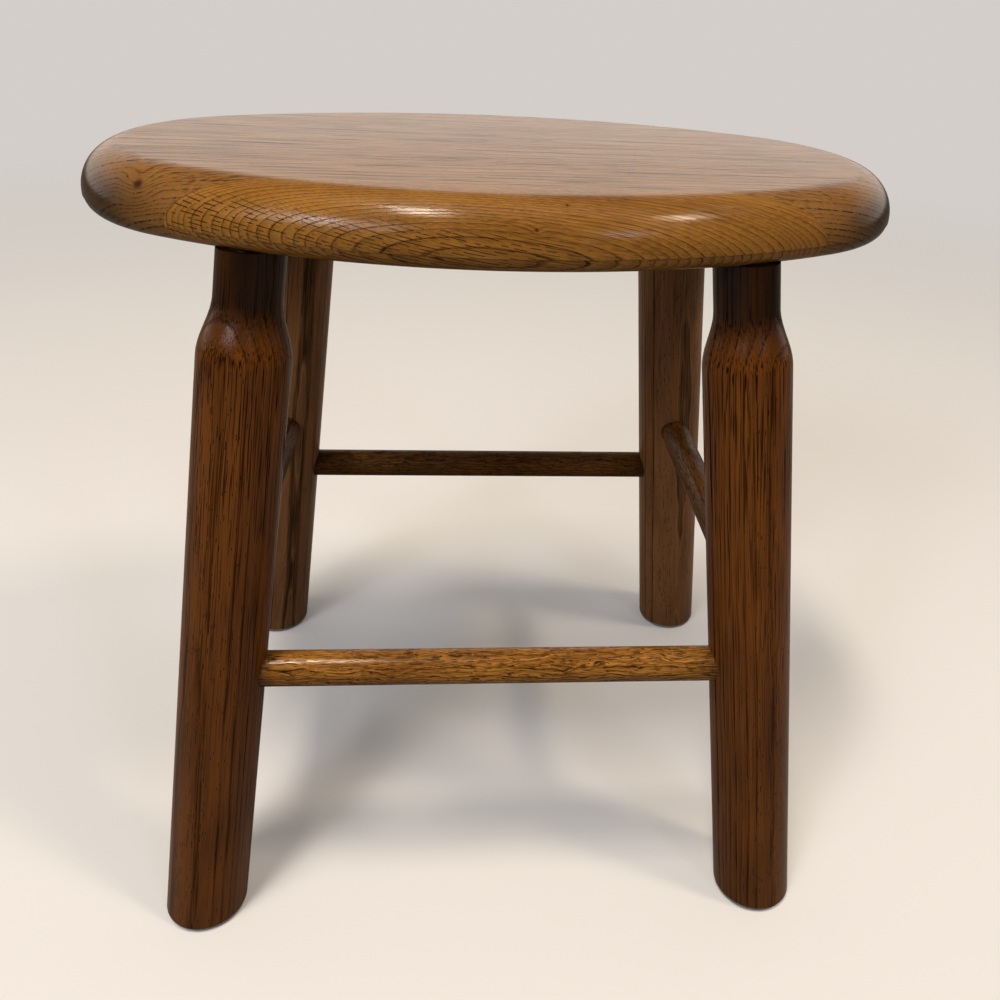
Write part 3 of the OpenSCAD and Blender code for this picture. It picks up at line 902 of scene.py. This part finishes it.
def plain_floor(half=30.0, backdrop_from=0.45, backdrop_to=1.8):
    """A large pale floor at the height of the pads' undersides."""
    mesh = bpy.data.meshes.new("floor")
    mesh.from_pydata([(-half, -half, 0), (half, -half, 0), (half, half, 0), (-half, half, 0)], [],
                     [(0, 1, 2, 3)])
    floor = new_object("floor", mesh)
    material = bpy.data.materials.new("pale_floor")
    tree = empty_tree(material)
    place = add(tree, "ShaderNodeTexCoord", output="Object")
    away = add(tree, VECTOR, "LENGTH", [place], "Value")
    far = add(tree, RANGE, SMOOTH, [away, backdrop_from, backdrop_to, 0.10, 1.0])
    painted = add(tree, "ShaderNodeBsdfDiffuse", None, {"Color": colour("#f4f3f1")})
    backdrop = add(tree, "ShaderNodeEmission", None, {"Color": backdrop_colour, "Strength": 1.0})
    seen = add(tree, "ShaderNodeMixShader", None, [far, painted, backdrop])
    dull = add(tree, "ShaderNodeBsdfDiffuse", None, {"Color": colour("#8f8a84")})
    path = add(tree, "ShaderNodeLightPath", output="Is Camera Ray")
    both = add(tree, "ShaderNodeMixShader", None, [path, dull, seen])
    add(tree, "ShaderNodeOutputMaterial", None, {"Surface": both}, None)
    mesh.materials.append(material)
    print("floor:", 2 * half, "m wide")


plain_floor()

# %% [markdown]
# The sky lights the stool faintly from all round. Low behind the stool it is as bright as a sunlit
# white wall, and that wall is what the top of the seat mirrors at a flat angle: it makes the top
# look greyer than the edge. The camera itself sees only the backdrop's colour.

# %% Sky
def sky(dim, bright):
    """Dim light from all round, and a bright band low behind the stool, like a sunlit white wall."""
    world = bpy.data.worlds.new("studio")
    bpy.context.scene.world = world
    tree = empty_tree(world)
    way = add(tree, "ShaderNodeTexCoord", output="Generated")
    parts = add(tree, AXES, None, [way], None)
    beside_it, behind_it, wall_low, wall_high = -0.2, 0.5, 0.36, 0.56
    behind = add(tree, RANGE, SMOOTH, [parts["Y"], beside_it, behind_it, 0.0, 1.0])
    low = add(tree, RANGE, SMOOTH, [parts["Z"], wall_low, wall_high, 1.0, 0.0])
    wall = add(tree, MATH, "MULTIPLY", [behind, low])
    level = add(tree, RANGE, None, {"Value": wall, "To Min": dim, "To Max": bright})
    light = add(tree, "ShaderNodeBackground", None, {"Color": colour("#fdf4eb"), "Strength": level})
    seen = add(tree, "ShaderNodeBackground", None, {"Color": backdrop_colour, "Strength": 1.0})
    path = add(tree, "ShaderNodeLightPath", output="Is Camera Ray")
    both = add(tree, "ShaderNodeMixShader", None, [path, light, seen])
    add(tree, "ShaderNodeOutputWorld", None, {"Surface": both}, None)
    print("world:", world.name, "from", dim, "to", bright)


sky(dim=0.09, bright=1.1)

# %% [markdown]
# A large softbox overhead and another in front, to the left, light the whole stool. Two long lamps
# high up give the two warm bright spots on the edge of the seat, and two cool windows give the
# paler spots below them. Their directions were worked out from where those spots lie on the edge.
# The long lamps are spun on their own axes, which makes a spot short and thick. Each row below is a
# lamp's direction, distance, width, height, watts, colour and spin in degrees.

# %% Lamps
lamps = {
    "overhead_softbox": ((0.0, -0.02, 1.0), 2.4, 2.0, 1.4, 7.0, "#fffaf4", 0),
    "front_softbox": ((-0.55, -0.72, 0.60), 3.0, 1.5, 1.0, 22.0, "#fffaf4", 0),
    "ceiling_lamp_left": ((-0.171, -0.215, 0.962), 2.6, 0.26, 0.80, 34.0, "#fff0dc", 38),
    "ceiling_lamp_right": ((0.507, -0.205, 0.837), 2.6, 0.24, 0.50, 17.0, "#ffe9cc", -40),
    "window_left": ((-0.515, -0.646, 0.563), 3.2, 0.42, 0.60, 12.0, "#dbe5ff", 0),
    "window_right": ((0.431, -0.731, 0.530), 3.2, 0.35, 0.50, 7.0, "#dbe5ff", 0),
}
for name, (towards_it, away, width, height, watts, tint, spin) in lamps.items():
    data = bpy.data.lights.new(name, "AREA")
    data.shape, data.size, data.size_y = "RECTANGLE", width, height
    data.energy, data.color = watts, colour(tint)[:3]
    lamp = new_object(name, data)
    direction = Vector(towards_it).normalized()
    lamp.location = Vector((0, 0, underside)) + away * direction
    spun = Quaternion((0, 0, 1), math.radians(spin))
    lamp.rotation_euler = (direction.to_track_quat("Z", "Y") @ spun).to_euler()
print("lamps:", len(lamps), "with", sum(row[4] for row in lamps.values()), "W")

# %% [markdown]
# The camera stands where the photograph was taken from: close to the stool, a little above the seat,
# looking down by about 27 degrees and turned by three degrees about its own axis. The photograph is
# a crop of a wider picture, so its centre of view lies above and to the right of the picture's own
# middle, which Blender calls shift.

# %% Camera
picture = 1000
focal_px, centre_px = 957.7, (534.9, 428.9)
camera_side, camera_back, camera_up = -0.0503, 0.4225, 0.4138
look_down, look_aside, roll = 0.4705, -0.0526, 0.0571
at = Vector((math.sin(camera_side) * camera_back, -math.cos(camera_side) * camera_back, camera_up))
yaw = camera_side + look_aside
ahead = Vector((-math.sin(yaw) * math.cos(look_down), math.cos(yaw) * math.cos(look_down),
                -math.sin(look_down)))
level_right = Vector((math.cos(yaw), math.sin(yaw), 0.0))
level_up = level_right.cross(ahead)
right = math.cos(roll) * level_right + math.sin(roll) * level_up
up = -math.sin(roll) * level_right + math.cos(roll) * level_up
camera = new_object("camera", bpy.data.cameras.new("camera"))
camera.matrix_world = Matrix((right, up, -ahead)).transposed().to_4x4()
camera.location = at
camera.data.sensor_width = 36.0
camera.data.lens = focal_px / picture * camera.data.sensor_width
camera.data.shift_x = (picture / 2 - centre_px[0]) / picture
camera.data.shift_y = (centre_px[1] - picture / 2) / picture
camera.data.clip_start = 0.01
bpy.context.scene.camera = camera
bpy.context.scene.view_settings.view_transform = "Standard"
print("camera at", [round(v, 3) for v in at], "lens", round(camera.data.lens, 2))
